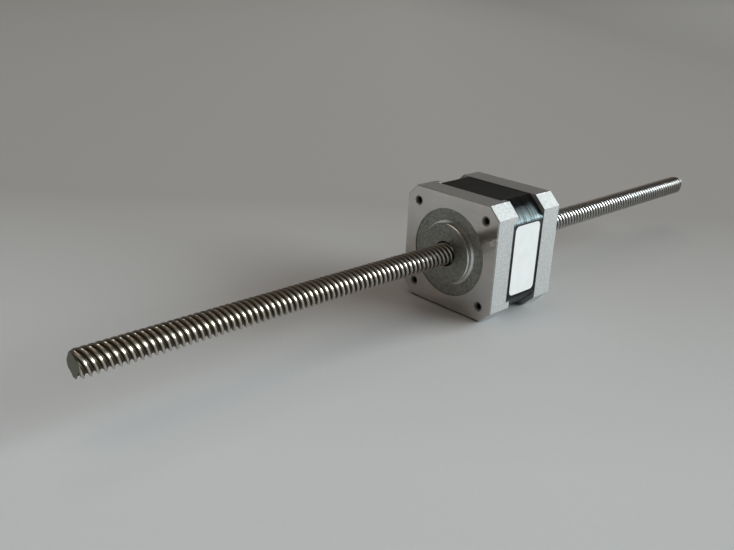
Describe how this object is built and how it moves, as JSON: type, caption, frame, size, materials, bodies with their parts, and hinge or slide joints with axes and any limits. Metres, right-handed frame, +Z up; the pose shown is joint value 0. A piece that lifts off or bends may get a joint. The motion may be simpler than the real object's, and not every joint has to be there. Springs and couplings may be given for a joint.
{
  "type": "lead screw stepper motor",
  "caption": "Square hybrid stepper motor whose hollow rotor carries a nut, so a long multi-start lead screw travels through it to push or pull a load.",
  "frame": {"origin": "centre of the front mounting face, on the screw's axis", "axes": "the screw lies along Y; the mounting face looks to -Y; +Z is up, away from the surface that the motor rests on; the label is on the +X side"},
  "size_m": [0.046, 0.3, 0.042],
  "materials": {
    "bell_aluminium": "die-cast, machined on the outside, fine satin",
    "stator_black": "laminated steel stack, black enamelled edges",
    "frame_plastic": "moulded nylon",
    "copper_wire": "enamelled copper wire",
    "turned_steel": "turned steel",
    "nut_plastic": "moulded acetal",
    "rotor_steel": "laminated silicon steel",
    "magnet_plating": "nickel plated",
    "bearing_steel": "ground and polished",
    "cage_plastic": "moulded polyamide",
    "screw_plating": "zinc plated",
    "board_laminate": "glass laminate with solder mask",
    "socket_plastic": "moulded white nylon",
    "pin_plating": "tinned brass",
    "label_film": "white satin film, blank",
    "thread_steel": "rolled stainless steel"
  },
  "bodies": {
    "housing": {"front_end_bell": "bell_aluminium", "rear_end_bell": "bell_aluminium", "stator_core": "stator_black", "front_coil_frame": "frame_plastic", "rear_coil_frame": "frame_plastic", "phase_a_windings": "copper_wire", "phase_b_windings": "copper_wire", "front_bearing_outer_ring": "bearing_steel", "rear_bearing_outer_ring": "bearing_steel", "wave_spring_washer": "turned_steel", "housing_screws": "screw_plating", "terminal_board": "board_laminate", "connector_socket": "socket_plastic", "connector_pins": "pin_plating", "side_label": "label_film"},
    "rotor": {"rotor_sleeve": "turned_steel", "drive_nut": "nut_plastic", "front_rotor_cup": "rotor_steel", "rear_rotor_cup": "rotor_steel", "rotor_magnet": "magnet_plating", "front_bearing_inner_ring": "bearing_steel", "rear_bearing_inner_ring": "bearing_steel"},
    "front_ball_set": {"front_bearing_balls": "bearing_steel", "front_bearing_cage": "cage_plastic"},
    "rear_ball_set": {"rear_bearing_balls": "bearing_steel", "rear_bearing_cage": "cage_plastic"},
    "screw": {"lead_screw": "thread_steel"}
  },
  "joints": [
    {"name": "screw_travel", "type": "slide", "parent": "housing", "child": "screw", "axis": [0, 1, 0], "range_m": [-0.125, 0.13]},
    {"name": "rotor_spin", "type": "hinge", "parent": "housing", "child": "rotor", "pos_m": [0, 0.01665, 0], "axis": [0, 1, 0], "range_deg": [-5851, 5851]},
    {"name": "front_balls_orbit", "type": "hinge", "parent": "housing", "child": "front_ball_set", "pos_m": [0, 0.004, 0], "axis": [0, 1, 0], "range_deg": [-2510, 2510]},
    {"name": "rear_balls_orbit", "type": "hinge", "parent": "housing", "child": "rear_ball_set", "pos_m": [0, 0.0293, 0], "axis": [0, 1, 0], "range_deg": [-2510, 2510]}
  ],
  "couplings": [
    {"joint": "rotor_spin", "follows": "screw_travel", "rad_per_m": -785.4},
    {"joint": "front_balls_orbit", "follows": "screw_travel", "rad_per_m": -336.6},
    {"joint": "rear_balls_orbit", "follows": "screw_travel", "rad_per_m": -336.6}
  ]
}
